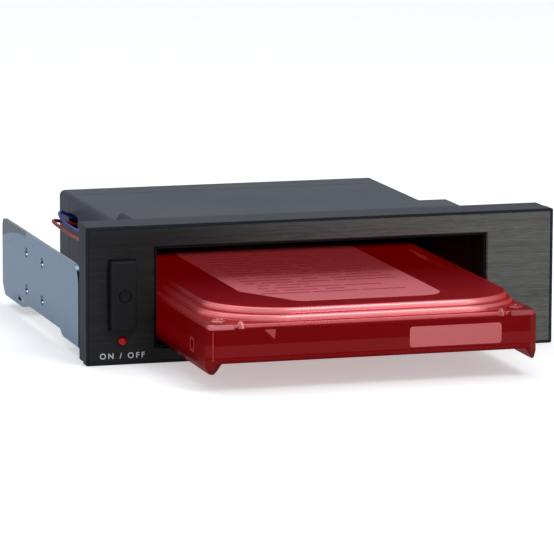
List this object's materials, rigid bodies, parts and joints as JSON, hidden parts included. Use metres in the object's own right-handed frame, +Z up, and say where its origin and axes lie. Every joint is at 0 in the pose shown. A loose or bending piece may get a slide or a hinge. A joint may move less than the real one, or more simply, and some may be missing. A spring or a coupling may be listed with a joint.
{
  "type": "hot swap drive cage",
  "caption": "Trayless hot swap cage for a half-height bay: slotted front with power key and light, keyed rear socket, steel side brackets and a drive that slides in.",
  "frame": {"origin": "middle of the bezel's bottom edge, in the plane of the bezel's back face, which stops against the bay", "axes": "+X to the right seen from the front, +Y back into the bay, +Z up"},
  "size_m": [0.148, 0.1706, 0.042],
  "materials": {
    "bezel_black": "fine satin texture",
    "face_dark": "dark, brushed along its length",
    "key_black": "gloss",
    "switch_grey": "plain",
    "board_green": "satin lacquer",
    "light_lens": "clear red, unlit",
    "plastic_black": "plain",
    "steel_bright": "bright",
    "cage_slate": "satin",
    "steel_polished": "polished sheet",
    "contact_gold": "gold plated",
    "plug_white": "plain",
    "lead_blue": "soft insulation",
    "lead_red": "soft insulation",
    "drive_red": "clear red",
    "drive_board_red": "clear red",
    "drive_plug_dark": "plain"
  },
  "bodies": {
    "cage": {"front_bezel": "bezel_black", "face_plate": "face_dark", "power_switch": "switch_grey", "switch_board": "board_green", "status_light": "light_lens", "light_spacer": "plastic_black", "light_legs": "steel_bright", "cage_shell": "cage_slate", "cage_floor": "plastic_black", "rear_cover": "cage_slate", "left_leaf_spring": "steel_bright", "right_leaf_spring": "steel_bright", "left_bracket": "steel_polished", "right_bracket": "steel_polished", "backplane_board": "board_green", "drive_socket": "plastic_black", "socket_contacts": "contact_gold", "data_port": "plastic_black", "data_port_contacts": "contact_gold", "power_port": "plastic_black", "power_port_contacts": "contact_gold", "front_lead_plug": "plug_white", "rear_lead_plug": "plug_white", "blue_lead": "lead_blue", "red_lead": "lead_red", "bezel_screws": "steel_bright", "switch_board_screws": "steel_bright", "rear_cover_screws": "steel_bright", "backplane_screws": "steel_bright", "bracket_screws": "steel_bright"},
    "power_key": {"power_key": "key_black", "switch_plunger": "switch_grey"},
    "drive": {"drive_base": "drive_red", "drive_cover": "drive_red", "cover_screws": "drive_red", "drive_board": "drive_board_red", "drive_board_screws": "drive_red", "spindle_motor": "drive_red", "drive_plug": "drive_plug_dark", "drive_plug_contacts": "contact_gold"}
  },
  "joints": [
    {"name": "drive_slide", "type": "slide", "parent": "cage", "child": "drive", "axis": [0, -1, 0], "range_m": [-0.0116, 0.095]},
    {"name": "power_key_push", "type": "slide", "parent": "cage", "child": "power_key", "axis": [0, 1, 0], "range_m": [0, 0.0028], "stiffness_N_per_m": 500, "springref_m": -0.001}
  ]
}
